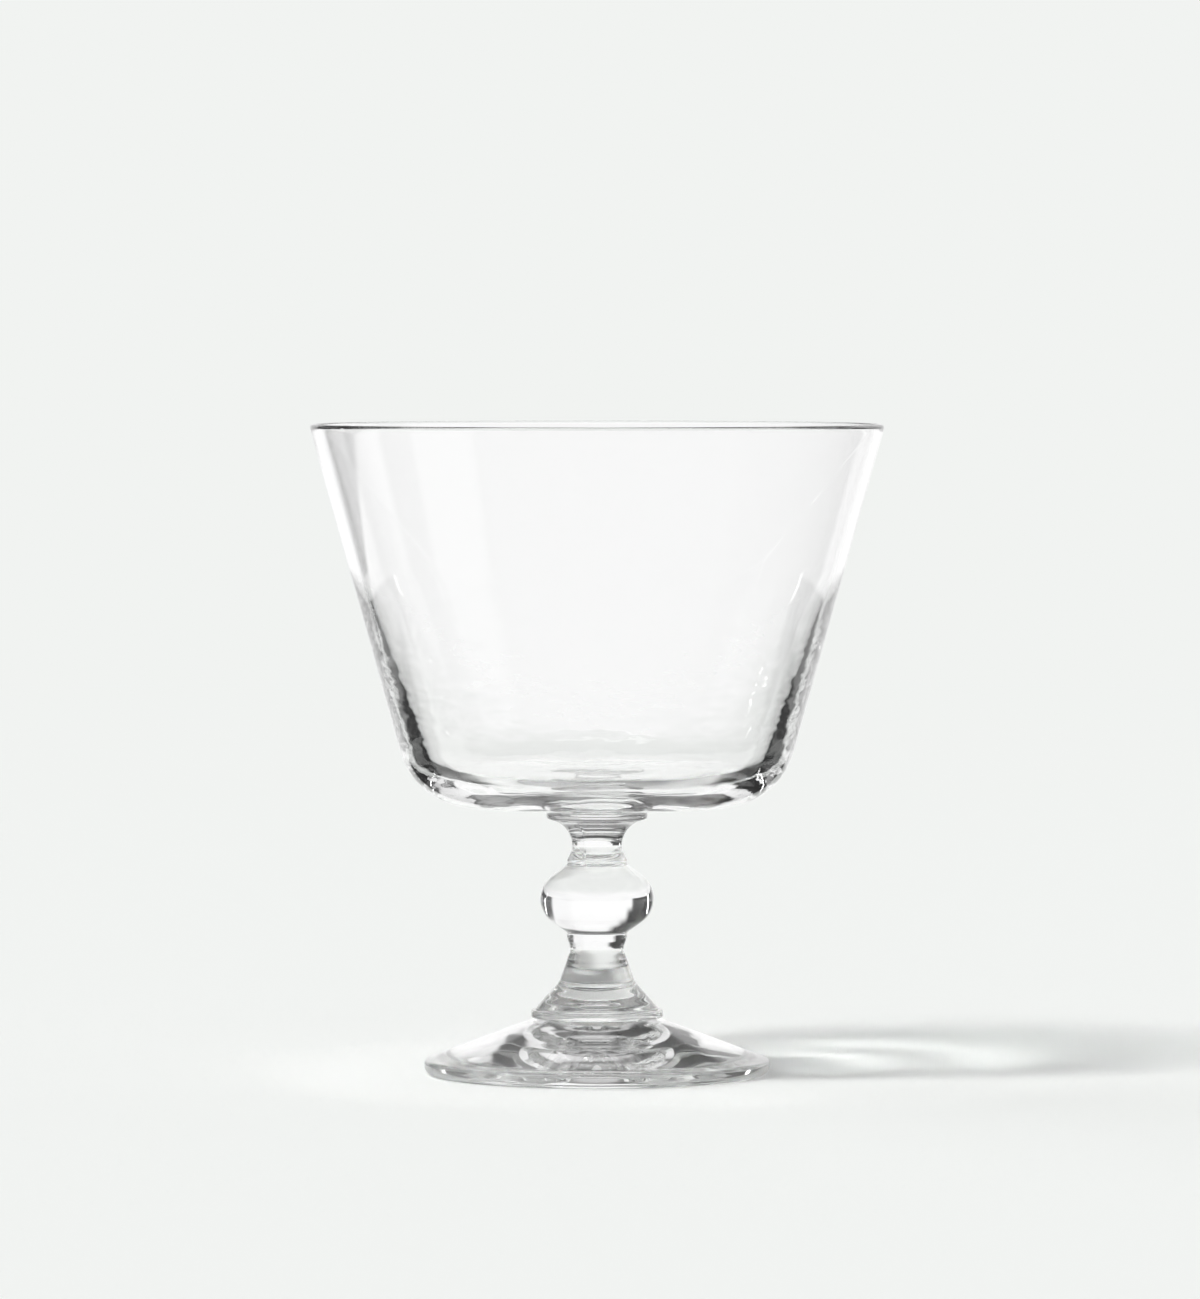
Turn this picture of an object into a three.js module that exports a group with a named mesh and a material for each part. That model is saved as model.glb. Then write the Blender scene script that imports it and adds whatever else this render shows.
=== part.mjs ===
// Dessert coupe: a low stemmed glass with a flared bowl, a short knopped stem and a spreading foot.
// The bowl, stem and foot are made apart and joined hot through two small glass discs, the collars.
// Every piece is a solid of revolution about Z. Millimetres, +Z up, the origin at the middle of the
// plane the foot rests on.

import * as THREE from "three";

// Bowl, outside: a flat seat, a shallow underside, a round heel and a straight flared wall.
const BOWL_HEIGHT = 71.6;
const BOWL_RIM_RADIUS = 53.1;
const BOWL_HEEL_RADIUS = 33.7;
const BOWL_HEEL_RISE = 1.9;
const BOWL_HEEL_ROUNDING = 13.5;
const BOWL_SEAT_INSET = 0.85;

// Bowl, inside: the wall is thin at the rim, thickens towards the heel and turns into a dished floor.
const RIM_WALL = 1.35;
const RIM_ROUNDING = 0.65;
const THICKENING_WALL = 1.55;
const THICKENING_HEIGHT = 42.0;
const THICKENING_ROUNDING = 90.0;
const HEEL_WALL = 4.6;
const HEEL_INSIDE_RISE = 2.4;
const HEEL_INSIDE_ROUNDING = 7.5;
const FLOOR_THICKNESS = 4.8;
const FLOOR_FLAT_RADIUS = 8.0;
const FLOOR_ROUNDING = 60.0;

// Upper collar: a thin disc with a full round edge, a little wider than the stem's head.
const UPPER_COLLAR_HEIGHT = 1.35;
const UPPER_COLLAR_OVERHANG = 1.05;
const UPPER_COLLAR_ROUNDING = 0.6;

// Stem head and upper neck.
const STEM_HEAD_RADIUS = 8.3;
const STEM_HEAD_HEIGHT = 5.52;
const STEM_HEAD_EDGE = 0.15;
const STEM_HEAD_SLOPE = 1.1;
const STEM_HEAD_ROUNDING = 5.2;
const UPPER_NECK_RADIUS = 4.6;
const UPPER_NECK_LENGTH = 2.1;
const NECK_ROUNDING = 2.5;

// Knop: a ball whose shoulders run straight into a narrow band above and below.
const KNOP_RADIUS = 10.5;
const KNOP_ROUNDING = 5.35;
const KNOP_SHOULDER_ANGLE = THREE.MathUtils.degToRad(55);
const KNOP_BAND_RADIUS = 5.6;
const KNOP_BAND_HEIGHT = 0.8;
const KNOP_BAND_ROUNDING = 0.4;

// Lower neck and the cone that spreads from it to the stem's base.
const LOWER_NECK_RADIUS = 4.85;
const LOWER_NECK_LENGTH = 2.3;
const LOWER_NECK_TAPER_HEIGHT = 6.0;
const STEM_CONE_RADIUS = 6.95;
const STEM_CONE_HEIGHT = 5.2;
const STEM_CONE_ROUNDING = 5.0;
const STEM_BASE_RADIUS = 11.55;
const STEM_BASE_ROUNDING = 0.25;

// Lower collar: a disc a little wider than the stem's base, undercut where it meets the foot.
const LOWER_COLLAR_HEIGHT = 1.8;
const LOWER_COLLAR_OVERHANG = 0.65;
const LOWER_COLLAR_UNDERCUT = 1.3;
const LOWER_COLLAR_UNDERCUT_HEIGHT = 0.45;
const LOWER_COLLAR_ROUNDING = 0.35;

// Foot: a low cone with a round edge, a flat resting ring and a domed hollow underneath.
const FOOT_HEIGHT = 10.1;
const FOOT_RADIUS = 31.9;
const FOOT_SHOULDER_REACH = 0.4;
const FOOT_SHOULDER_DROP = 0.25;
const FOOT_SHOULDER_ROUNDING = 1.5;
const FOOT_EDGE_HEIGHT = 2.6;
const FOOT_EDGE_TOP_ROUNDING = 1.0;
const FOOT_EDGE_BOTTOM_ROUNDING = 1.5;
const RESTING_RING_WIDTH = 4.4;
const RESTING_RING_ROUNDING = 3.0;
const HOLLOW_DEPTH = 3.8;
const HOLLOW_SLOPE_WIDTH = 13.0;
const HOLLOW_ROUNDING = 40.0;

// Fineness of the faceted surfaces: sides round the axis, and how far a chord may lie off its arc.
const WIDE_SIDES = 64;
const SLIM_SIDES = 44;
const CHORD_ERROR = 0.02;

// Sizes that pieces share: what seats on a neighbour takes its size from the neighbour.
const upperCollarRadius = STEM_HEAD_RADIUS + UPPER_COLLAR_OVERHANG;
const bowlSeatRadius = upperCollarRadius - BOWL_SEAT_INSET;
const lowerCollarRadius = STEM_BASE_RADIUS + LOWER_COLLAR_OVERHANG;
const footSeatRadius = lowerCollarRadius - LOWER_COLLAR_UNDERCUT;

// Heights along the stem, above its base.
const knopCorner = KNOP_RADIUS - KNOP_ROUNDING + KNOP_ROUNDING / Math.cos(KNOP_SHOULDER_ANGLE);
const knopShoulder = (knopCorner - KNOP_BAND_RADIUS) / Math.tan(KNOP_SHOULDER_ANGLE);
const lowerNeckHeight = STEM_CONE_HEIGHT + LOWER_NECK_TAPER_HEIGHT;
const lowerBandHeight = lowerNeckHeight + LOWER_NECK_LENGTH;
const knopBase = lowerBandHeight + KNOP_BAND_HEIGHT;
const knopHeight = knopBase + knopShoulder;
const knopTop = knopHeight + knopShoulder;
const upperNeckHeight = knopTop + KNOP_BAND_HEIGHT + UPPER_NECK_LENGTH;
const stemHeight = upperNeckHeight + STEM_HEAD_HEIGHT;

// Where each piece stands, from the resting plane up.
const lowerCollarBase = FOOT_HEIGHT;
const stemBase = lowerCollarBase + LOWER_COLLAR_HEIGHT;
const upperCollarBase = stemBase + stemHeight;
const bowlBase = upperCollarBase + UPPER_COLLAR_HEIGHT;

// Clear colourless glass, a shade darker where the piece is small and thick.
function clearGlass(colour) {
  return new THREE.MeshStandardMaterial({
    color: colour,
    roughness: 0.03,
    metalness: 0,
    transparent: true,
    opacity: 0.35,
  });
}

// Points of an outline of straight runs whose corners are rounded. A corner is [radius, height,
// rounding], without the last where it is sharp. Where a run is too short for the roundings at its
// two ends, both shrink to share it.
function roundedOutline(corners) {
  const places = corners.map(([radius, height]) => new THREE.Vector2(radius, height));
  const towards = (i, j) => places[j].clone().sub(places[i]).normalize();
  const halfAngles = corners.map(([, , rounding], i) => {
    if (!rounding) return Math.PI / 2;
    return Math.acos(towards(i, i - 1).dot(towards(i, i + 1))) / 2;
  });
  const runs = corners.map(([, , rounding = 0], i) => rounding / Math.tan(halfAngles[i]));
  const room = (i, j) => places[i].distanceTo(places[j]) / (runs[i] + runs[j]);

  return corners.flatMap(([, , rounding], i) => {
    const corner = places[i];
    if (!rounding) return [corner];
    const fit = Math.min(1, room(i - 1, i), room(i, i + 1));
    const radius = rounding * fit;
    const back = towards(i, i - 1);
    const ahead = towards(i, i + 1);
    const inward = back.clone().add(ahead).normalize();
    const centre = corner.clone().addScaledVector(inward, radius / Math.sin(halfAngles[i]));
    const from = corner.clone().addScaledVector(back, runs[i] * fit).sub(centre);
    const to = corner.clone().addScaledVector(ahead, runs[i] * fit).sub(centre);
    const step = 2 * Math.acos(1 - Math.min(CHORD_ERROR / radius, 0.5));
    const steps = Math.ceil((Math.PI - 2 * halfAngles[i]) / step);
    const clockwise = from.cross(to) < 0;
    return new THREE.EllipseCurve(
      centre.x, centre.y, radius, radius, from.angle(), to.angle(), clockwise,
    ).getPoints(steps);
  });
}

// A solid turned from its outline, standing on its own base at the given height.
function turned(name, corners, sides, height, colour) {
  const geometry = new THREE.LatheGeometry(roundedOutline(corners), sides);
  geometry.rotateX(Math.PI / 2);
  const mesh = new THREE.Mesh(geometry, clearGlass(colour));
  mesh.name = name;
  mesh.position.z = height;
  return mesh;
}

// Radius of the bowl's outer wall at a height above its seat.
function bowlOutside(height) {
  const climb = (height - BOWL_HEEL_RISE) / (BOWL_HEIGHT - BOWL_HEEL_RISE);
  return THREE.MathUtils.lerp(BOWL_HEEL_RADIUS, BOWL_RIM_RADIUS, climb);
}

// The bowl is one shell, and its rim is fire polished to a half round.
function bowl() {
  const heelInside = FLOOR_THICKNESS + HEEL_INSIDE_RISE;
  const outline = [
    [0, 0],
    [bowlSeatRadius, 0],
    [BOWL_HEEL_RADIUS, BOWL_HEEL_RISE, BOWL_HEEL_ROUNDING],
    [BOWL_RIM_RADIUS, BOWL_HEIGHT, RIM_ROUNDING],
    [BOWL_RIM_RADIUS - RIM_WALL, BOWL_HEIGHT, RIM_ROUNDING],
    [bowlOutside(THICKENING_HEIGHT) - THICKENING_WALL, THICKENING_HEIGHT, THICKENING_ROUNDING],
    [bowlOutside(heelInside) - HEEL_WALL, heelInside, HEEL_INSIDE_ROUNDING],
    [FLOOR_FLAT_RADIUS, FLOOR_THICKNESS, FLOOR_ROUNDING],
    [0, FLOOR_THICKNESS],
  ];
  return turned("bowl", outline, WIDE_SIDES, bowlBase, 0xf4f7f6);
}

// The disc between the bowl's seat and the head of the stem.
function upperCollar() {
  const outline = [
    [0, 0],
    [upperCollarRadius, 0, UPPER_COLLAR_ROUNDING],
    [upperCollarRadius, UPPER_COLLAR_HEIGHT, UPPER_COLLAR_ROUNDING],
    [0, UPPER_COLLAR_HEIGHT],
  ];
  return turned("upper_collar", outline, SLIM_SIDES, upperCollarBase, 0xe9eeee);
}

// The stem is solid, from its spreading base over the knop to its flared head.
function stem() {
  const headEdge = stemHeight - STEM_HEAD_EDGE;
  const outline = [
    [0, 0],
    [STEM_BASE_RADIUS, 0, STEM_BASE_ROUNDING],
    [STEM_CONE_RADIUS, STEM_CONE_HEIGHT, STEM_CONE_ROUNDING],
    [LOWER_NECK_RADIUS, lowerNeckHeight, NECK_ROUNDING],
    [KNOP_BAND_RADIUS, lowerBandHeight, KNOP_BAND_ROUNDING],
    [KNOP_BAND_RADIUS, knopBase, KNOP_BAND_ROUNDING],
    [knopCorner, knopHeight, KNOP_ROUNDING],
    [KNOP_BAND_RADIUS, knopTop, KNOP_BAND_ROUNDING],
    [KNOP_BAND_RADIUS, knopTop + KNOP_BAND_HEIGHT, KNOP_BAND_ROUNDING],
    [UPPER_NECK_RADIUS, upperNeckHeight, NECK_ROUNDING],
    [UPPER_NECK_RADIUS, headEdge - STEM_HEAD_SLOPE, STEM_HEAD_ROUNDING],
    [STEM_HEAD_RADIUS, headEdge],
    [STEM_HEAD_RADIUS, stemHeight],
    [0, stemHeight],
  ];
  return turned("stem", outline, SLIM_SIDES, stemBase, 0xeef2f2);
}

// The disc between the stem's base and the foot.
function lowerCollar() {
  const outline = [
    [0, 0],
    [footSeatRadius, 0],
    [lowerCollarRadius, LOWER_COLLAR_UNDERCUT_HEIGHT, LOWER_COLLAR_ROUNDING],
    [lowerCollarRadius, LOWER_COLLAR_HEIGHT, LOWER_COLLAR_ROUNDING],
    [0, LOWER_COLLAR_HEIGHT],
  ];
  return turned("lower_collar", outline, SLIM_SIDES, lowerCollarBase, 0xe9eeee);
}

// The foot stands on a flat ring, and its middle is hollowed from below.
function foot() {
  const ringRadius = FOOT_RADIUS - FOOT_EDGE_BOTTOM_ROUNDING - RESTING_RING_WIDTH;
  const outline = [
    [0, HOLLOW_DEPTH],
    [ringRadius - HOLLOW_SLOPE_WIDTH, HOLLOW_DEPTH, HOLLOW_ROUNDING],
    [ringRadius, 0, RESTING_RING_ROUNDING],
    [FOOT_RADIUS, 0, FOOT_EDGE_BOTTOM_ROUNDING],
    [FOOT_RADIUS, FOOT_EDGE_HEIGHT, FOOT_EDGE_TOP_ROUNDING],
    [lowerCollarRadius + FOOT_SHOULDER_REACH, FOOT_HEIGHT - FOOT_SHOULDER_DROP, FOOT_SHOULDER_ROUNDING],
    [footSeatRadius, FOOT_HEIGHT],
    [0, FOOT_HEIGHT],
  ];
  return turned("foot", outline, WIDE_SIDES, 0, 0xf2f5f5);
}

const coupe = new THREE.Group();
coupe.name = "dessert_coupe";
coupe.add(bowl(), upperCollar(), stem(), lowerCollar(), foot());

export default coupe;
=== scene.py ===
"""A stemmed dessert coupe of clear, colourless glass, fused from a bowl, two collars, a stem and a foot.

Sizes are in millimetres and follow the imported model. Meshes are made in metres, in the model's own frame,
with the foot's resting ring on the floor at a height of zero and the front towards minus Y.
"""

import logging
import math
from dataclasses import dataclass, field
from enum import Enum

import bmesh
import bpy
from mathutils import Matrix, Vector, noise


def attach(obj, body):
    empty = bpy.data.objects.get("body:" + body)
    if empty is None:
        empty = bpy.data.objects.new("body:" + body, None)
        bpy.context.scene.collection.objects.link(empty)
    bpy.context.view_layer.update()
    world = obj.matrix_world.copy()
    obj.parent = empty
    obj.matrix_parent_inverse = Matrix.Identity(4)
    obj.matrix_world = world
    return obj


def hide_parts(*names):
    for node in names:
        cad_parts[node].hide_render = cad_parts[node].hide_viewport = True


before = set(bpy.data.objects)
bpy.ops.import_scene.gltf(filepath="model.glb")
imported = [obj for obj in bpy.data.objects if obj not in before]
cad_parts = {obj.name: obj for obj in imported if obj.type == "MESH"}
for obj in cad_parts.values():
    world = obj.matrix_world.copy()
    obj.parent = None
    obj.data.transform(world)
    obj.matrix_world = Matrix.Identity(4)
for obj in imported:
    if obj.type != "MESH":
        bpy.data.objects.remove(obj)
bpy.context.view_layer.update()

MM = 0.001
# In metres: points nearer than the first are one point, and no run shorter than the second is drawn.
MERGE_REACH = 1e-6
SHORTEST_RUN = 1e-7
LOG = logging.getLogger("coupe")


class Weld(Enum):
    """Which flat face of a piece is fused to its neighbour."""

    BASE = "base"
    TOP = "top"


def linear(hex_colour: str) -> tuple[float, float, float, float]:
    """Turns an sRGB colour to the linear values that a shader socket holds.

    Args:
        hex_colour: The colour as "#rrggbb".

    Returns:
        Red, green, blue and an alpha of 1.
    """
    shares = [int(hex_colour[place : place + 2], 16) / 255 for place in (1, 3, 5)]
    red, green, blue = (
        share / 12.92 if share <= 0.04045 else ((share + 0.055) / 1.055) ** 2.4 for share in shares
    )
    return red, green, blue, 1.0


def add_node(
    tree: bpy.types.NodeTree,
    kind: str,
    settings: dict[str, object] | None = None,
    inputs: dict[int | str, object] | None = None,
) -> bpy.types.Node:
    """Adds a node to a tree, sets it up and links it.

    Args:
        tree: The node tree that takes the node.
        kind: The node's type name.
        settings: Values of the node's own properties.
        inputs: For each input, by name or number, a socket to link from or a plain value.

    Returns:
        The new node.
    """
    node = tree.nodes.new(kind)
    for name, value in (settings or {}).items():
        setattr(node, name, value)
    for key, value in (inputs or {}).items():
        if isinstance(value, bpy.types.NodeSocket):
            tree.links.new(value, node.inputs[key])
        else:
            node.inputs[key].default_value = value
    return node


def smooth_step(value: float, low: float, high: float) -> float:
    """Rises smoothly from 0 to 1.

    Args:
        value: Where to read the step.
        low: Where it starts to rise.
        high: Where it has risen.

    Returns:
        The share that it has risen.
    """
    share = min(max((value - low) / (high - low), 0.0), 1.0)
    return share * share * (3 - 2 * share)


@dataclass(frozen=True)
class Corner:
    """A corner of a half section.

    radius and height place it, and rounding is the radius of its arc, or 0 where it stays sharp.
    """

    radius: float
    height: float
    rounding: float = 0.0

    @property
    def place(self) -> Vector:
        """The corner in the plane of the section, in millimetres."""
        return Vector((self.radius, 0.0, self.height))


class Section:
    """Half section of a turned piece, drawn with one wire from corner to corner."""

    ARC_STEP = math.radians(5)

    def __init__(self, corners: list[Corner], base: float, longest: float) -> None:
        """Keeps the corners.

        Args:
            corners: The corners in order, closed on the axis.
            base: Height of the piece's own base above the floor.
            longest: Longest edge that the wire may have.
        """
        self.corners = corners
        self.base = base
        self.longest = longest

    def _tangent_lengths(self) -> list[float]:
        """Finds how much of its runs each rounding takes.

        Returns:
            One length for each corner. Where a run is too short, its two roundings share it.
        """
        places = [corner.place for corner in self.corners]
        wanted = [0.0] * len(places)
        for i in range(1, len(places) - 1):
            turn = (places[i] - places[i - 1]).angle(places[i + 1] - places[i])
            wanted[i] = self.corners[i].rounding * math.tan(turn / 2)
        fitted = list(wanted)
        for i in range(1, len(places) - 1):
            for j in (i - 1, i + 1):
                room = (places[i] - places[j]).length
                taken = wanted[i] + wanted[j]
                if taken > room:
                    fitted[i] = min(fitted[i], wanted[i] * room / taken)
        return fitted

    def _line(self, mesh: bmesh.types.BMesh, tip: bmesh.types.BMVert, end: Vector) -> bmesh.types.BMVert:
        """Draws a straight run.

        Args:
            mesh: The wire's mesh.
            tip: The wire's last vertex.
            end: Where the run ends, in millimetres.

        Returns:
            The wire's new last vertex.
        """
        step = (end + Vector((0, 0, self.base))) * MM - tip.co
        if step.length < SHORTEST_RUN:
            return tip
        new_tip = bmesh.ops.extrude_vert_indiv(mesh, verts=[tip])["verts"][0]
        bmesh.ops.translate(mesh, verts=[new_tip], vec=step)
        return new_tip

    def _arc(
        self, mesh: bmesh.types.BMesh, tip: bmesh.types.BMVert, before: Vector, after: Vector, length: float
    ) -> bmesh.types.BMVert:
        """Draws a rounding on from the wire's last vertex.

        Args:
            mesh: The wire's mesh.
            tip: The wire's last vertex, where the arc starts.
            before: Direction of the run before the corner.
            after: Direction of the run after it.
            length: How much of each run the rounding takes.

        Returns:
            The wire's new last vertex.
        """
        turn = before.angle(after)
        axis = before.cross(after).normalized()
        side = axis.cross(before).normalized()
        radius = length / math.tan(turn / 2)
        centre = tip.co + side * radius * MM
        steps = max(2, math.ceil(turn / self.ARC_STEP), math.ceil(turn * radius / self.longest))
        arc = bmesh.ops.spin(mesh, geom=[tip], cent=centre, axis=axis, angle=turn, steps=steps)
        return [item for item in arc["geom_last"] if isinstance(item, bmesh.types.BMVert)][0]

    def wire(self) -> bmesh.types.BMesh:
        """Draws the section.

        Returns:
            A mesh that holds only the wire, in metres.
        """
        mesh = bmesh.new()
        lift = Vector((0, 0, self.base))
        tip = mesh.verts.new((self.corners[0].place + lift) * MM)
        lengths = self._tangent_lengths()
        for i in range(1, len(self.corners) - 1):
            here = self.corners[i].place
            before = (here - self.corners[i - 1].place).normalized()
            after = (self.corners[i + 1].place - here).normalized()
            tip = self._line(mesh, tip, here - before * lengths[i])
            if lengths[i] > 0:
                tip = self._arc(mesh, tip, before, after, lengths[i])
        self._line(mesh, tip, self.corners[-1].place)
        for edge in list(mesh.edges):
            cuts = math.ceil(edge.calc_length() / (self.longest * MM)) - 1
            if cuts > 0:
                bmesh.ops.subdivide_edges(mesh, edges=[edge], cuts=cuts)
        return mesh


@dataclass(frozen=True)
class ClearGlass:
    """Colourless soda-lime glass, pressed while hot and fire polished.

    It gives the eye bright, sharp reflections, dark edges where a thick part bends the sight line far
    round, and the faint long waves of a surface that set while it still flowed. Lengths are millimetres.
    """

    name: str
    wave_height: float = 0.012
    wave_length: float = 14.0
    wave_stretch: float = 2.0
    ior: float = 1.52

    def _waves(
        self, tree: bpy.types.NodeTree, place: bpy.types.Node, length: float, height: float, stretch: float
    ) -> bpy.types.NodeSocket:
        """Makes uneven waves.

        Args:
            tree: The material's node tree.
            place: The texture coordinates.
            length: Length of a wave round the piece, in millimetres.
            height: Height of the waves, in millimetres.
            stretch: How much longer they are up the piece than round it.

        Returns:
            The socket that holds their height in metres.
        """
        drawn = add_node(
            tree, "ShaderNodeMapping", inputs={0: place.outputs["Object"], "Scale": (1, 1, 1 / stretch)}
        )
        waves = add_node(
            tree,
            "ShaderNodeTexNoise",
            inputs={"Vector": drawn.outputs[0], "Scale": 1 / (length * MM), "Detail": 1.5, "Roughness": 0.4},
        )
        scaled = add_node(
            tree, "ShaderNodeMath", {"operation": "MULTIPLY"}, {0: waves.outputs["Fac"], 1: height * MM}
        )
        return scaled.outputs[0]

    def relief(self, tree: bpy.types.NodeTree, place: bpy.types.Node) -> bpy.types.NodeSocket:
        """Gives the surface its long waves.

        Args:
            tree: The material's node tree.
            place: The texture coordinates.

        Returns:
            The socket that holds the height in metres.
        """
        return self._waves(tree, place, self.wave_length, self.wave_height, self.wave_stretch)

    def material(self) -> bpy.types.Material:
        """Makes the glass.

        Returns:
            The material.
        """
        made = bpy.data.materials.new(self.name)
        made.use_nodes = True
        tree = made.node_tree
        tree.nodes.clear()
        place = add_node(tree, "ShaderNodeTexCoord")
        skin = add_node(
            tree,
            "ShaderNodeBump",
            inputs={"Strength": 1.0, "Distance": 1.0, "Height": self.relief(tree, place)},
        )
        glass = add_node(
            tree,
            "ShaderNodeBsdfPrincipled",
            inputs={
                "Base Color": (1, 1, 1, 1),
                "Roughness": 0.0,
                "IOR": self.ior,
                "Transmission Weight": 1.0,
                "Normal": skin.outputs[0],
            },
        )
        add_node(tree, "ShaderNodeOutputMaterial", inputs={"Surface": glass.outputs[0]})
        return made


@dataclass(frozen=True)
class VeinedGlass(ClearGlass):
    """Clear glass whose lower wall chilled against the mould and kept fine lying veins.

    The veins give the eye short pale and dark curls across the thick wall near the heel. They are whole up
    to the height vein_full above the floor and fade out by vein_end, towards the thin, evenly polished wall.
    """

    vein_height: float = 0.06
    vein_length: float = 7.0
    vein_stretch: float = 0.35
    vein_full: float = 70.0
    vein_end: float = 92.0

    def relief(self, tree: bpy.types.NodeTree, place: bpy.types.Node) -> bpy.types.NodeSocket:
        """Adds the veins to the long waves.

        Args:
            tree: The material's node tree.
            place: The texture coordinates.

        Returns:
            The socket that holds the height in metres.
        """
        veins = self._waves(tree, place, self.vein_length, self.vein_height, self.vein_stretch)
        parts = add_node(tree, "ShaderNodeSeparateXYZ", inputs={0: place.outputs["Object"]})
        low = add_node(
            tree,
            "ShaderNodeMapRange",
            {"interpolation_type": "SMOOTHSTEP"},
            {
                "Value": parts.outputs["Z"],
                "From Min": self.vein_full * MM,
                "From Max": self.vein_end * MM,
                "To Min": 1.0,
                "To Max": 0.0,
            },
        )
        both = add_node(
            tree,
            "ShaderNodeMath",
            {"operation": "MULTIPLY_ADD"},
            {0: veins, 1: low.outputs[0], 2: super().relief(tree, place)},
        )
        return both.outputs[0]


@dataclass(frozen=True)
class FusedWeld:
    """The inside of a fused joint, where glass runs into glass and nothing shows."""

    name: str = "fused glass joint"

    def material(self) -> bpy.types.Material:
        """Makes the joint's face let everything through.

        Returns:
            The material.
        """
        made = bpy.data.materials.new(self.name)
        made.use_nodes = True
        tree = made.node_tree
        tree.nodes.clear()
        clear = add_node(tree, "ShaderNodeBsdfTransparent", inputs={"Color": (1, 1, 1, 1)})
        add_node(tree, "ShaderNodeOutputMaterial", inputs={"Surface": clear.outputs[0]})
        return made


@dataclass
class TurnedGlass:
    """A solid of revolution in clear glass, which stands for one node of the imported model."""

    finish: bpy.types.Material
    weld: bpy.types.Material
    base: float = 0.0
    longest: float = 0.8
    sides: int = 256

    node = ""
    slot_name = ""
    SHARP = math.radians(26)
    SECTORS = 16

    def corners(self) -> list[Corner]:
        """The corners of the half section, above the piece's own base."""
        raise NotImplementedError

    def welds(self) -> dict[Weld, float]:
        """The radius of each fused face."""
        return {}

    def weld_heights(self) -> dict[Weld, float]:
        """The height of each fused face above the floor, in millimetres."""
        heights = [corner.height for corner in self.corners()]
        return {Weld.BASE: self.base + min(heights), Weld.TOP: self.base + max(heights)}

    def shaped(self, mesh: bmesh.types.BMesh) -> None:
        """Gives the turned mesh what turning can't.

        Args:
            mesh: The piece's mesh, in metres. Not used here, where the plain turned piece stays as it is.
        """

    def _turned(self) -> bmesh.types.BMesh:
        """Turns the section about the axis.

        Returns:
            A closed mesh whose faces point outwards.
        """
        mesh = Section(self.corners(), self.base, self.longest).wire()
        middle = {"cent": (0, 0, 0), "axis": (0, 0, 1)}
        sector = math.tau / self.SECTORS
        steps = self.sides // self.SECTORS
        bmesh.ops.spin(mesh, geom=mesh.verts[:] + mesh.edges[:], angle=sector, steps=steps, **middle)
        bmesh.ops.spin(
            mesh,
            geom=mesh.verts[:] + mesh.edges[:] + mesh.faces[:],
            angle=math.tau - sector,
            steps=self.SECTORS - 1,
            use_duplicate=True,
            **middle,
        )
        bmesh.ops.remove_doubles(mesh, verts=mesh.verts, dist=MERGE_REACH)
        bmesh.ops.recalc_face_normals(mesh, faces=mesh.faces)
        mesh.normal_update()
        return mesh

    def _mark_welds(self, mesh: bmesh.types.BMesh) -> None:
        """Gives the fused faces their own material slot.

        Args:
            mesh: The piece's mesh.
        """
        heights = self.weld_heights()
        for side, radius in self.welds().items():
            level = heights[side] * MM
            reach = radius * MM + MERGE_REACH
            for face in mesh.faces:
                if all(abs(v.co.z - level) < MERGE_REACH and v.co.xy.length < reach for v in face.verts):
                    face.material_index = 1

    def build(self) -> bpy.types.Object:
        """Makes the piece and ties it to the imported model.

        Returns:
            The piece's object.
        """
        mesh = self._turned()
        self._mark_welds(mesh)
        self.shaped(mesh)
        for edge in mesh.edges:
            edge.smooth = edge.calc_face_angle(0.0) < self.SHARP
        for face in mesh.faces:
            face.smooth = True
        data = bpy.data.meshes.new(f"{self.node}_glass")
        mesh.to_mesh(data)
        mesh.free()
        data.materials.append(self.finish)
        data.materials.append(self.weld)
        piece = bpy.data.objects.new(f"{self.node}_glass", data)
        bpy.context.scene.collection.objects.link(piece)
        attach(piece, "root")
        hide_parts(self.node)
        LOG.info("%s: %d faces", piece.name, len(data.polygons))
        return piece


@dataclass
class Bowl(TurnedGlass):
    """The flaring bowl, thick at its heel and thin at its fire-polished rim."""

    base: float = 48.402
    height: float = 71.6
    rim_radius: float = 53.1
    rim_wall: float = 1.35
    rim_rounding: float = 0.65
    seat_radius: float = 8.5
    heel_radius: float = 33.7
    heel_rise: float = 1.9
    heel_rounding: float = 13.5
    thickening_height: float = 42.0
    thickening_wall: float = 1.55
    thickening_rounding: float = 90.0
    heel_wall: float = 4.6
    heel_inside_height: float = 7.2
    heel_inside_rounding: float = 7.5
    floor_thickness: float = 4.8
    floor_flat_radius: float = 8.0
    floor_rounding: float = 60.0
    sides: int = 288

    node = "bowl"
    slot_name = "bowl_glass"

    def outside(self, height: float) -> float:
        """The radius of the outer wall at a height above the seat."""
        climb = (height - self.heel_rise) / (self.height - self.heel_rise)
        return self.heel_radius + (self.rim_radius - self.heel_radius) * climb

    def welds(self) -> dict[Weld, float]:
        """The seat is fused to the upper collar."""
        return {Weld.BASE: self.seat_radius}

    def corners(self) -> list[Corner]:
        """The shell's half section, up the outside and down the inside."""
        return [
            Corner(0, 0),
            Corner(self.seat_radius, 0),
            Corner(self.heel_radius, self.heel_rise, self.heel_rounding),
            Corner(self.rim_radius, self.height, self.rim_rounding),
            Corner(self.rim_radius - self.rim_wall, self.height, self.rim_rounding),
            Corner(
                self.outside(self.thickening_height) - self.thickening_wall,
                self.thickening_height,
                self.thickening_rounding,
            ),
            Corner(
                self.outside(self.heel_inside_height) - self.heel_wall,
                self.heel_inside_height,
                self.heel_inside_rounding,
            ),
            Corner(self.floor_flat_radius, self.floor_thickness, self.floor_rounding),
            Corner(0, self.floor_thickness),
        ]


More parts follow.
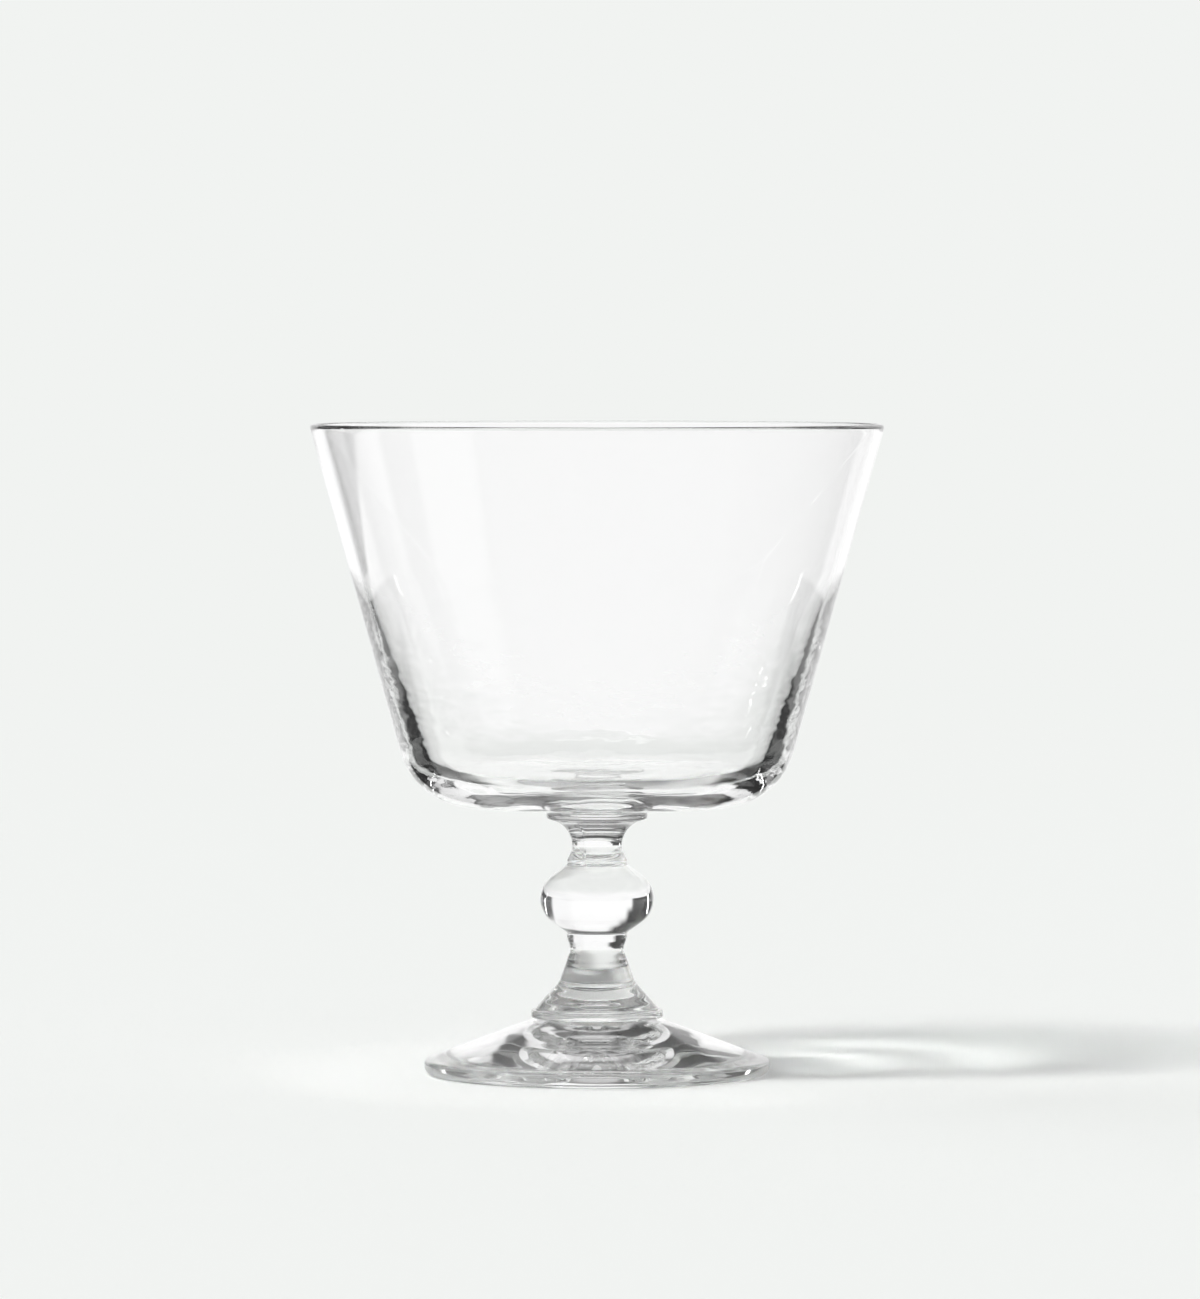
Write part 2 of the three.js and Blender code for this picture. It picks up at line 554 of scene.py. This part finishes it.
@dataclass
class UpperCollar(TurnedGlass):
    """The thin disc between the bowl's seat and the head of the stem."""

    base: float = 47.052
    radius: float = 9.35
    height: float = 1.35
    rounding: float = 0.6
    bowl_weld: float = 8.5
    stem_weld: float = 8.3
    longest: float = 0.4
    sides: int = 192

    node = "upper_collar"
    slot_name = "collar_glass"

    def welds(self) -> dict[Weld, float]:
        """The collar is fused to the stem below and the bowl above."""
        return {Weld.BASE: self.stem_weld, Weld.TOP: self.bowl_weld}

    def corners(self) -> list[Corner]:
        """A disc with a rounded edge."""
        return [
            Corner(0, 0),
            Corner(self.stem_weld, 0),
            Corner(self.radius, 0, self.rounding),
            Corner(self.radius, self.height, self.rounding),
            Corner(self.bowl_weld, self.height),
            Corner(0, self.height),
        ]


@dataclass
class Stem(TurnedGlass):
    """The solid stem, from its spreading base over the knop to its flared head.

    The mould left a short seam on the upper neck, between seam_low and seam_high above the stem's base, and
    turning left faint marks on the cone, from mark_start up to mark_end. Neither moves a point that is
    nearer the axis than core_radius.
    """

    base: float = 11.9
    base_radius: float = 11.55
    base_rounding: float = 0.25
    cone_radius: float = 6.95
    cone_height: float = 5.2
    cone_rounding: float = 5.0
    lower_neck_radius: float = 4.85
    lower_neck_height: float = 11.2
    lower_neck_length: float = 2.3
    neck_rounding: float = 2.5
    band_radius: float = 5.6
    band_height: float = 0.8
    band_rounding: float = 0.4
    knop_radius: float = 10.5
    knop_rounding: float = 5.35
    knop_shoulder: float = math.radians(55)
    upper_neck_radius: float = 4.6
    upper_neck_length: float = 2.1
    head_radius: float = 8.3
    head_height: float = 5.52
    head_edge: float = 0.15
    head_slope: float = 1.1
    head_rounding: float = 5.2
    seam_azimuth: float = math.radians(-119)
    seam_low: float = 27.0
    seam_high: float = 34.9
    seam_height: float = 0.2
    seam_width: float = 0.25
    seam_fade: float = 1.0
    mark_height: float = 0.018
    mark_spacing: float = 1.5
    mark_start: float = 0.4
    mark_full: float = 1.2
    mark_end: float = 8.0
    mark_fade: float = 2.0
    mark_sway: float = 0.35
    mark_sway_length: float = 9.0
    core_radius: float = 4.14
    longest: float = 0.25
    sides: int = 256

    node = "stem"
    slot_name = "stem_glass"

    def welds(self) -> dict[Weld, float]:
        """The stem is fused to a collar at each end."""
        return {Weld.BASE: self.base_radius - self.base_rounding, Weld.TOP: self.head_radius}

    def corners(self) -> list[Corner]:
        """The turned outline, with the knop between its two narrow bands."""
        slant = self.knop_rounding / math.cos(self.knop_shoulder) - self.knop_rounding
        knop_corner = self.knop_radius + slant
        shoulder = (knop_corner - self.band_radius) / math.tan(self.knop_shoulder)
        lower_band = self.lower_neck_height + self.lower_neck_length
        knop_base = lower_band + self.band_height
        knop_middle = knop_base + shoulder
        knop_top = knop_middle + shoulder
        upper_band = knop_top + self.band_height
        upper_neck = upper_band + self.upper_neck_length
        top = upper_neck + self.head_height
        rim = top - self.head_edge
        return [
            Corner(0, 0),
            Corner(self.base_radius, 0, self.base_rounding),
            Corner(self.cone_radius, self.cone_height, self.cone_rounding),
            Corner(self.lower_neck_radius, self.lower_neck_height, self.neck_rounding),
            Corner(self.band_radius, lower_band, self.band_rounding),
            Corner(self.band_radius, knop_base, self.band_rounding),
            Corner(knop_corner, knop_middle, self.knop_rounding),
            Corner(self.band_radius, knop_top, self.band_rounding),
            Corner(self.band_radius, upper_band, self.band_rounding),
            Corner(self.upper_neck_radius, upper_neck, self.neck_rounding),
            Corner(self.upper_neck_radius, rim - self.head_slope, self.head_rounding),
            Corner(self.head_radius, rim),
            Corner(self.head_radius, top),
            Corner(0, top),
        ]

    def _seam(self, place: Vector) -> float:
        """How far the mould's seam stands out at a place on the neck, in millimetres."""
        height = place.z / MM - self.base
        above = smooth_step(height, self.seam_low, self.seam_low + self.seam_fade)
        below = 1 - smooth_step(height, self.seam_high - self.seam_fade, self.seam_high)
        off = math.remainder(math.atan2(place.y, place.x) - self.seam_azimuth, math.tau)
        across = off * place.xy.length / MM / self.seam_width
        return self.seam_height * above * below * math.exp(-across * across)

    def _mark(self, place: Vector) -> float:
        """How far the cone's turning marks stand out at a place, in millimetres."""
        height = place.z / MM - self.base
        above = smooth_step(height, self.mark_start, self.mark_full)
        below = 1 - smooth_step(height, self.mark_end - self.mark_fade, self.mark_end)
        sway = noise.noise(place / (self.mark_sway_length * MM)) * self.mark_sway
        turns = height / self.mark_spacing + sway
        return self.mark_height * above * below * math.sin(math.tau * turns)

    def shaped(self, mesh: bmesh.types.BMesh) -> None:
        """Raises the seam on the neck and the uneven marks on the cone, and leaves the core as it is.

        Args:
            mesh: The stem's mesh, in metres.
        """
        for vert in mesh.verts:
            radius = vert.co.xy.length
            if radius < self.core_radius * MM:
                continue
            out = (self._seam(vert.co) + self._mark(vert.co)) * MM / radius
            vert.co.x *= 1 + out
            vert.co.y *= 1 + out


@dataclass
class LowerCollar(TurnedGlass):
    """The thicker disc between the stem's base and the foot, undercut at its lower edge."""

    base: float = 10.1
    radius: float = 12.2
    height: float = 1.8
    undercut_height: float = 0.45
    rounding: float = 0.35
    foot_weld: float = 10.9
    stem_weld: float = 11.3
    longest: float = 0.4
    sides: int = 224

    node = "lower_collar"
    slot_name = "collar_glass"

    def welds(self) -> dict[Weld, float]:
        """The collar is fused to the foot below and the stem above."""
        return {Weld.BASE: self.foot_weld, Weld.TOP: self.stem_weld}

    def corners(self) -> list[Corner]:
        """A disc with a slanting undercut and rounded edges."""
        return [
            Corner(0, 0),
            Corner(self.foot_weld, 0),
            Corner(self.radius, self.undercut_height, self.rounding),
            Corner(self.radius, self.height, self.rounding),
            Corner(self.stem_weld, self.height),
            Corner(0, self.height),
        ]


@dataclass
class Foot(TurnedGlass):
    """The round foot, which slopes down to a rounded edge and is hollowed from below.

    In the middle of the hollow is a pressed dimple with flutes, as wide as rosette_radius.
    """

    radius: float = 31.9
    height: float = 10.1
    seat_radius: float = 10.9
    shoulder_radius: float = 12.6
    shoulder_drop: float = 0.25
    shoulder_rounding: float = 1.5
    edge_height: float = 2.6
    edge_top_rounding: float = 1.0
    edge_bottom_rounding: float = 1.5
    ring_width: float = 4.4
    ring_rounding: float = 3.0
    hollow_depth: float = 3.8
    hollow_slope_width: float = 13.0
    hollow_rounding: float = 40.0
    rosette_radius: float = 7.5
    flutes: int = 8
    flute_depth: float = 0.6
    flute_full_radius: float = 3.0
    dimple_depth: float = 1.6
    longest: float = 0.5
    sides: int = 288

    node = "foot"
    slot_name = "foot_glass"

    def welds(self) -> dict[Weld, float]:
        """The seat is fused to the lower collar."""
        return {Weld.TOP: self.seat_radius}

    def corners(self) -> list[Corner]:
        """The half section, from the hollow under the foot out and up to its seat."""
        ring = self.radius - self.edge_bottom_rounding - self.ring_width
        return [
            Corner(0, self.hollow_depth),
            Corner(ring - self.hollow_slope_width, self.hollow_depth, self.hollow_rounding),
            Corner(ring, 0, self.ring_rounding),
            Corner(self.radius, 0, self.edge_bottom_rounding),
            Corner(self.radius, self.edge_height, self.edge_top_rounding),
            Corner(self.shoulder_radius, self.height - self.shoulder_drop, self.shoulder_rounding),
            Corner(self.seat_radius, self.height),
            Corner(0, self.height),
        ]

    def shaped(self, mesh: bmesh.types.BMesh) -> None:
        """Presses a dimple with a fluted rosette into the middle of the hollow.

        Args:
            mesh: The foot's mesh, in metres.
        """
        for vert in mesh.verts:
            radius = vert.co.xy.length / MM
            if radius > self.rosette_radius or vert.co.z / MM > self.height / 2:
                continue
            dimple = 1 - smooth_step(radius, 0.0, self.rosette_radius)
            flute = smooth_step(radius, 0.0, self.flute_full_radius) * dimple
            turn = math.atan2(vert.co.y, vert.co.x) * self.flutes / 2
            rise = self.dimple_depth * dimple + self.flute_depth * flute * math.cos(turn) ** 2
            vert.co.z += rise * MM


@dataclass(frozen=True)
class Panel:
    """A soft-edged panel of the studio, as seen from the middle of the set.

    azimuth and rise are the middle of the panel, in degrees anticlockwise from plus X and above the
    horizon. half_width, half_height and edge are degrees too. light is the level that it shows, where 1 is
    white.
    """

    azimuth: float
    rise: float
    half_width: float
    half_height: float
    edge: float
    light: float


@dataclass(frozen=True)
class PaintedCard:
    """A black card beside the set, given by the floor that it hides from the glass.

    azimuth, half_width and edge are degrees. near and far are distances from the coupe in metres, soft is
    how soft those two sides are, and cover is the share of the floor's light that the painted patch takes
    away. A mirrored patch shows only in light that a face of the glass has mirrored, as a painted dark
    reflection. Any other shows in all light that comes by way of the glass.
    """

    azimuth: float
    half_width: float
    near: float
    far: float
    edge: float = 3.0
    soft: float = 0.015
    cover: float = 1.0
    mirrored: bool = True


@dataclass
class Studio:
    """The pale floor, the soft light round it and the camera.

    The floor is matt paper near the coupe and runs into an even haze from floor_clear to floor_blend, in
    metres, or from glass_floor_clear to glass_floor_blend where the glass shows it. dome_light is the level
    of the dim room, and each panel is laid over the ones before it. The floor lamps and fill_light fall on
    the floor alone, and lamp_passed is the share of the lamps that the glass lets through to it. haze_gain
    is how much brighter the glass sees the haze. Only the glass shows the painted cards, black patches
    painted on the floor as dark reflections and shade, and painted_card_light is what they still show. The
    camera has its place and lens in millimetres, its clip in metres and its dip below the horizon in degrees.
    """

    background: str = "#f1f3f1"
    lamp_colour: str = "#ffffff"
    floor_colour: str = "#f1f3f1"
    dome_light: float = 0.03
    fill_light: float = 0.08
    floor_radius: float = 9.0
    floor_sides: int = 96
    floor_clear: float = 0.45
    floor_blend: float = 1.6
    glass_floor_clear: float = 0.2
    glass_floor_blend: float = 0.5
    painted_card_light: float = 0.03
    haze_gain: float = 0.015
    lamp_passed: float = 0.88
    camera_place: tuple[float, float, float] = (0.55, -1475.8, 138.08)
    camera_dip: float = 2.316
    camera_lens: float = 221.9
    camera_sensor: float = 36.0
    camera_clip: tuple[float, float] = (0.05, 60.0)
    glass_bounces: int = 96
    clear_bounces: int = 32
    floor_lamps: list[Panel] = field(
        default_factory=lambda: [
            Panel(azimuth=215, rise=53, half_width=9, half_height=5, edge=3, light=69.5),
            Panel(azimuth=148, rise=30, half_width=22, half_height=8, edge=5, light=4.0),
        ]
    )
    panels: list[Panel] = field(
        default_factory=lambda: [
            # The high window behind the set, dim at its foot and top.
            Panel(azimuth=85, rise=33, half_width=80, half_height=8, edge=3, light=0.14),
            Panel(azimuth=85, rise=50, half_width=80, half_height=11, edge=5, light=0.55),
            Panel(azimuth=85, rise=75, half_width=80, half_height=14, edge=4, light=0.1),
            # The bright wall behind the set, brightest in its middle.
            Panel(azimuth=69, rise=0, half_width=49, half_height=27, edge=2, light=0.72),
            Panel(azimuth=82.5, rise=0, half_width=35.5, half_height=27, edge=2, light=0.96),
            Panel(azimuth=94, rise=0, half_width=24, half_height=27, edge=4, light=1.02),
            # Black flags on both sides of that wall, which darken the foot's lobes and the knop's side.
            Panel(azimuth=34, rise=6, half_width=14, half_height=8, edge=3, light=0.12),
            Panel(azimuth=129, rise=3, half_width=9, half_height=6, edge=3, light=0.05),
            Panel(azimuth=131, rise=13, half_width=17, half_height=6, edge=3, light=0.03),
            Panel(azimuth=125, rise=20, half_width=17, half_height=5, edge=4, light=0.03),
            Panel(azimuth=121, rise=29, half_width=19, half_height=9, edge=5, light=0.03),
            # Soft panels at the sides and in front.
            Panel(azimuth=180, rise=0, half_width=15, half_height=12, edge=2, light=0.4),
            Panel(azimuth=344, rise=22, half_width=16, half_height=9, edge=2.0, light=0.55),
            Panel(azimuth=262, rise=30, half_width=62, half_height=24, edge=6, light=0.12),
            # Narrow strip lights, which give the glass its glints.
            Panel(azimuth=262, rise=47, half_width=42, half_height=1.5, edge=0.7, light=2.4),
            Panel(azimuth=146, rise=5, half_width=1.2, half_height=5, edge=0.6, light=6.0),
            Panel(azimuth=32, rise=6, half_width=1.2, half_height=4, edge=0.6, light=4.0),
        ]
    )
    painted_cards: list[PaintedCard] = field(
        default_factory=lambda: [
            # The painted cards: black patches painted on the floor that only the glass mirrors. They are
            # painted dark reflections that darken the bowl's walls, one on each side, and a far one behind on
            # the left.
            PaintedCard(azimuth=140, half_width=20, near=0.06, far=0.285),
            PaintedCard(azimuth=40, half_width=20, near=0.06, far=0.285),
            PaintedCard(azimuth=145.5, half_width=17.5, near=0.42, far=20.0),
            # Painted shade on the floor right under the foot, all round, which only the glass shows.
            PaintedCard(
                azimuth=90, half_width=185, near=-0.5, far=0.036, soft=0.006, cover=0.22, mirrored=False
            ),
        ]
    )

    def _band(
        self,
        tree: bpy.types.NodeTree,
        value: bpy.types.NodeSocket,
        middle: float,
        half: float,
        edge: float,
    ) -> bpy.types.NodeSocket:
        """Works out how far a value lies inside a soft-edged band.

        Args:
            tree: The node tree.
            value: The value.
            middle: The band's middle.
            half: Half the band's width.
            edge: How soft each side is.

        Returns:
            The socket that holds the share, from 0 to 1.
        """
        off = add_node(tree, "ShaderNodeMath", {"operation": "SUBTRACT"}, {0: value, 1: middle})
        size = add_node(tree, "ShaderNodeMath", {"operation": "ABSOLUTE"}, {0: off.outputs[0]})
        inside = add_node(
            tree,
            "ShaderNodeMapRange",
            {"interpolation_type": "SMOOTHSTEP"},
            {
                "Value": size.outputs[0],
                "From Min": half - edge,
                "From Max": half + edge,
                "To Min": 1.0,
                "To Max": 0.0,
            },
        )
        return inside.outputs[0]

    def _sector(
        self,
        tree: bpy.types.NodeTree,
        place: bpy.types.NodeSocket,
        azimuth: float,
        half: float,
        edge: float,
    ) -> bpy.types.NodeSocket:
        """Works out how far a direction or place lies inside a sector about the vertical.

        Args:
            tree: The node tree.
            place: The direction or place.
            azimuth: The sector's middle, in degrees.
            half: Half its width, in degrees.
            edge: How soft each side is, in degrees.

        Returns:
            The socket that holds the share, from 0 to 1.
        """
        turned = add_node(
            tree,
            "ShaderNodeVectorRotate",
            {"rotation_type": "Z_AXIS"},
            {"Vector": place, "Angle": -math.radians(azimuth)},
        )
        parts = add_node(tree, "ShaderNodeSeparateXYZ", inputs={0: turned.outputs[0]})
        around = add_node(
            tree, "ShaderNodeMath", {"operation": "ARCTAN2"}, {0: parts.outputs["Y"], 1: parts.outputs["X"]}
        )
        return self._band(tree, around.outputs[0], 0.0, math.radians(half), math.radians(edge))

    def _glass_rays(self, tree: bpy.types.NodeTree, rays: bpy.types.Node) -> bpy.types.NodeSocket:
        """Works out whether a ray comes by way of the glass.

        Args:
            tree: The node tree.
            rays: The tree's light path.

        Returns:
            The socket that holds 1 for a ray that the glass mirrors or lets through.
        """
        through = add_node(
            tree,
            "ShaderNodeMath",
            {"operation": "MAXIMUM"},
            {0: rays.outputs["Is Glossy Ray"], 1: rays.outputs["Is Transmission Ray"]},
        )
        return through.outputs[0]

    def _once(self, tree: bpy.types.NodeTree, depth: bpy.types.NodeSocket) -> bpy.types.NodeSocket:
        """Works out whether a ray has bounced in one way at least once.

        Args:
            tree: The node tree.
            depth: How many times it has bounced in that way.

        Returns:
            The socket that holds 1 for such a ray.
        """
        bounced = add_node(tree, "ShaderNodeMath", {"operation": "GREATER_THAN"}, {0: depth, 1: 0.5})
        return bounced.outputs[0]

    def _panel_mask(
        self, tree: bpy.types.NodeTree, way: bpy.types.NodeSocket, rise: bpy.types.NodeSocket, panel: Panel
    ) -> bpy.types.NodeSocket:
        """Works out how much of each direction a panel fills.

        Args:
            tree: The world's node tree.
            way: The direction that is looked at.
            rise: Its angle above the horizon.
            panel: The panel.

        Returns:
            The socket that holds its share, from 0 to 1.
        """
        across = self._sector(tree, way, panel.azimuth, panel.half_width, panel.edge)
        up = self._band(
            tree, rise, math.radians(panel.rise), math.radians(panel.half_height), math.radians(panel.edge)
        )
        both = add_node(tree, "ShaderNodeMath", {"operation": "MULTIPLY"}, {0: across, 1: up})
        return both.outputs[0]

    def _panel_light(
        self, tree: bpy.types.NodeTree, way: bpy.types.NodeSocket, rise: bpy.types.NodeSocket
    ) -> bpy.types.NodeSocket:
        """Lays the panels over each other in the dim room.

        Args:
            tree: The world's node tree.
            way: The direction that is looked at.
            rise: Its angle above the horizon.

        Returns:
            The socket that holds the level.
        """
        level: float | bpy.types.NodeSocket = self.dome_light
        for panel in self.panels:
            mask = self._panel_mask(tree, way, rise, panel)
            laid = add_node(
                tree, "ShaderNodeMix", {"data_type": "FLOAT"}, {0: mask, 2: level, 3: panel.light}
            )
            level = laid.outputs[0]
        return level

    def _lamp_light(
        self, tree: bpy.types.NodeTree, way: bpy.types.NodeSocket, rise: bpy.types.NodeSocket
    ) -> bpy.types.NodeSocket:
        """Adds up the lamps that light the floor.

        Args:
            tree: The world's node tree.
            way: The direction that is looked at.
            rise: Its angle above the horizon.

        Returns:
            The socket that holds their level.
        """
        level: float | bpy.types.NodeSocket = 0.0
        for lamp in self.floor_lamps:
            mask = self._panel_mask(tree, way, rise, lamp)
            added = add_node(
                tree, "ShaderNodeMath", {"operation": "MULTIPLY_ADD"}, {0: mask, 1: lamp.light, 2: level}
            )
            level = added.outputs[0]
        return level

    def light(self) -> None:
        """Lights the set by panels in a dim room, with the plain background where the camera sees it."""
        world = bpy.data.worlds.new("studio light")
        bpy.context.scene.world = world
        world.use_nodes = True
        tree = world.node_tree
        tree.nodes.clear()
        way = add_node(tree, "ShaderNodeTexCoord").outputs["Generated"]
        parts = add_node(tree, "ShaderNodeSeparateXYZ", inputs={0: way})
        rise = add_node(tree, "ShaderNodeMath", {"operation": "ARCSINE"}, {0: parts.outputs["Z"]})
        panels = self._panel_light(tree, way, rise.outputs[0])
        lamps = self._lamp_light(tree, way, rise.outputs[0])
        rays = add_node(tree, "ShaderNodeLightPath")
        passed = add_node(
            tree,
            "ShaderNodeMath",
            {"operation": "MULTIPLY"},
            {0: self._once(tree, rays.outputs["Diffuse Depth"]), 1: self.lamp_passed},
        )
        in_glass = add_node(
            tree, "ShaderNodeMath", {"operation": "MULTIPLY_ADD"}, {0: lamps, 1: passed.outputs[0], 2: panels}
        )
        bare = add_node(tree, "ShaderNodeMath", {"operation": "ADD"}, {0: panels, 1: self.fill_light})
        on_floor = add_node(tree, "ShaderNodeMath", {"operation": "ADD"}, {0: lamps, 1: bare.outputs[0]})
        lit = add_node(
            tree,
            "ShaderNodeMix",
            {"data_type": "FLOAT"},
            {0: self._glass_rays(tree, rays), 2: on_floor.outputs[0], 3: in_glass.outputs[0]},
        )
        shown = add_node(
            tree,
            "ShaderNodeMix",
            {"data_type": "FLOAT"},
            {0: rays.outputs["Is Camera Ray"], 2: lit.outputs[0], 3: 1.0},
        )
        tone = add_node(
            tree,
            "ShaderNodeMix",
            {"data_type": "RGBA"},
            {0: rays.outputs["Is Camera Ray"], 6: linear(self.lamp_colour), 7: linear(self.background)},
        )
        sky = add_node(
            tree, "ShaderNodeBackground", inputs={"Color": tone.outputs[2], "Strength": shown.outputs[0]}
        )
        add_node(tree, "ShaderNodeOutputWorld", inputs={"Surface": sky.outputs[0]})

    def _haze_share(
        self, tree: bpy.types.NodeTree, reach: bpy.types.NodeSocket, start: float, end: float
    ) -> bpy.types.NodeSocket:
        """Works out how far the floor has run into the haze.

        Args:
            tree: The floor's node tree.
            reach: The distance from the coupe.
            start: Where the haze starts, in metres.
            end: Where it is full.

        Returns:
            The socket that holds the share, from 0 to 1.
        """
        share = add_node(
            tree,
            "ShaderNodeMapRange",
            {"interpolation_type": "SMOOTHSTEP"},
            {"Value": reach, "From Min": start, "From Max": end},
        )
        return share.outputs[0]

    def _sheet(
        self, tree: bpy.types.NodeTree, reach: bpy.types.NodeSocket, through: bpy.types.NodeSocket
    ) -> bpy.types.NodeSocket:
        """Makes the matt paper and the haze that it runs into.

        Args:
            tree: The floor's node tree.
            reach: The distance from the coupe.
            through: Holds 1 for a ray that comes by way of the glass.

        Returns:
            The shader's socket.
        """
        far = add_node(
            tree,
            "ShaderNodeMix",
            {"data_type": "FLOAT"},
            {
                0: through,
                2: self._haze_share(tree, reach, self.floor_clear, self.floor_blend),
                3: self._haze_share(tree, reach, self.glass_floor_clear, self.glass_floor_blend),
            },
        )
        paper = add_node(
            tree, "ShaderNodeBsdfDiffuse", inputs={"Color": linear(self.floor_colour), "Roughness": 0.0}
        )
        tone = add_node(
            tree,
            "ShaderNodeMix",
            {"data_type": "RGBA"},
            {0: through, 6: linear(self.background), 7: linear(self.lamp_colour)},
        )
        glow = add_node(
            tree,
            "ShaderNodeMath",
            {"operation": "MULTIPLY_ADD"},
            {0: through, 1: self.haze_gain, 2: 1.0},
        )
        haze = add_node(
            tree, "ShaderNodeEmission", inputs={"Color": tone.outputs[2], "Strength": glow.outputs[0]}
        )
        sheet = add_node(
            tree, "ShaderNodeMixShader", inputs={0: far.outputs[0], 1: paper.outputs[0], 2: haze.outputs[0]}
        )
        return sheet.outputs[0]

    def _painted_card_mask(
        self,
        tree: bpy.types.NodeTree,
        place: bpy.types.NodeSocket,
        reach: bpy.types.NodeSocket,
        card: PaintedCard,
    ) -> bpy.types.NodeSocket:
        """Works out how much of the floor's light a painted black patch takes away.

        Args:
            tree: The floor's node tree.
            place: The place on the floor.
            reach: Its distance from the coupe.
            card: The painted patch.

        Returns:
            The socket that holds the share, from 0 to 1.
        """
        across = self._sector(tree, place, card.azimuth, card.half_width, card.edge)
        along = self._band(
            tree, reach, (card.near + card.far) / 2, (card.far - card.near) / 2, card.soft
        )
        inside = add_node(tree, "ShaderNodeMath", {"operation": "MULTIPLY"}, {0: across, 1: along})
        kept = add_node(
            tree, "ShaderNodeMath", {"operation": "MULTIPLY"}, {0: inside.outputs[0], 1: card.cover}
        )
        return kept.outputs[0]

    def floor(self) -> bpy.types.Object:
        """Lays the pale floor, which runs into the background far from the coupe, with black patches and
        shade painted on it that only the glass shows.

        Returns:
            The floor's object.
        """
        made = bpy.data.materials.new("matt studio paper")
        made.use_nodes = True
        tree = made.node_tree
        tree.nodes.clear()
        place = add_node(tree, "ShaderNodeTexCoord").outputs["Object"]
        rays = add_node(tree, "ShaderNodeLightPath")
        through = self._glass_rays(tree, rays)
        mirrored = self._once(tree, rays.outputs["Glossy Depth"])
        reach = add_node(tree, "ShaderNodeVectorMath", {"operation": "LENGTH"}, {0: place}).outputs["Value"]
        # The share of the floor painted black where the glass sees it: painted dark reflections and the
        # painted shade under the foot.
        painted_black: float | bpy.types.NodeSocket = 0.0
        for card in self.painted_cards:
            mask = self._painted_card_mask(tree, place, reach, card)
            met = add_node(
                tree,
                "ShaderNodeMath",
                {"operation": "MULTIPLY"},
                {0: mask, 1: mirrored if card.mirrored else through},
            )
            most = add_node(
                tree, "ShaderNodeMath", {"operation": "MAXIMUM"}, {0: met.outputs[0], 1: painted_black}
            )
            painted_black = most.outputs[0]
        black = add_node(
            tree,
            "ShaderNodeEmission",
            inputs={"Color": linear(self.lamp_colour), "Strength": self.painted_card_light},
        )
        seen = add_node(
            tree,
            "ShaderNodeMixShader",
            inputs={0: painted_black, 1: self._sheet(tree, reach, through), 2: black.outputs[0]},
        )
        add_node(tree, "ShaderNodeOutputMaterial", inputs={"Surface": seen.outputs[0]})
        mesh = bmesh.new()
        bmesh.ops.create_circle(mesh, cap_ends=True, segments=self.floor_sides, radius=self.floor_radius)
        data = bpy.data.meshes.new("studio_floor")
        mesh.to_mesh(data)
        mesh.free()
        data.materials.append(made)
        floor = bpy.data.objects.new("studio_floor", data)
        bpy.context.scene.collection.objects.link(floor)
        return floor

    def camera(self) -> bpy.types.Object:
        """Sets the camera at the photograph's viewing angle.

        Returns:
            The camera's object.
        """
        lens = bpy.data.cameras.new("camera")
        lens.sensor_width = self.camera_sensor
        lens.lens = self.camera_lens
        lens.clip_start, lens.clip_end = self.camera_clip
        camera = bpy.data.objects.new("camera", lens)
        camera.location = [side * MM for side in self.camera_place]
        camera.rotation_euler = (math.radians(90 - self.camera_dip), 0, 0)
        bpy.context.scene.collection.objects.link(camera)
        bpy.context.scene.camera = camera
        return camera

    def view(self) -> None:
        """Lets enough bounces through the glass and shows plain colours."""
        scene = bpy.context.scene
        scene.view_settings.view_transform = "Standard"
        scene.cycles.max_bounces = self.glass_bounces
        scene.cycles.transmission_bounces = self.glass_bounces
        scene.cycles.glossy_bounces = self.glass_bounces
        scene.cycles.transparent_max_bounces = self.clear_bounces
        # Unclamped, so that the light which the glass gathers reaches the floor.
        scene.cycles.sample_clamp_indirect = 0.0
        scene.cycles.blur_glossy = 0.0


def main() -> None:
    """Builds the set and the coupe's pieces in order."""
    logging.basicConfig(level=logging.INFO, format="%(message)s")
    studio = Studio()
    studio.camera()
    studio.light()
    studio.floor()
    studio.view()
    bowl_glass = VeinedGlass("fire-polished soda-lime glass, bowl").material()
    stem_glass = ClearGlass("pressed soda-lime glass, stem", wave_height=0.006, wave_length=6.0).material()
    foot_glass = ClearGlass("pressed soda-lime glass, foot", wave_height=0.01, wave_length=9.0).material()
    weld = FusedWeld().material()
    Foot(foot_glass, weld).build()
    LowerCollar(stem_glass, weld).build()
    Stem(stem_glass, weld).build()
    UpperCollar(stem_glass, weld).build()
    Bowl(bowl_glass, weld).build()


if __name__ == "__main__":
    main()
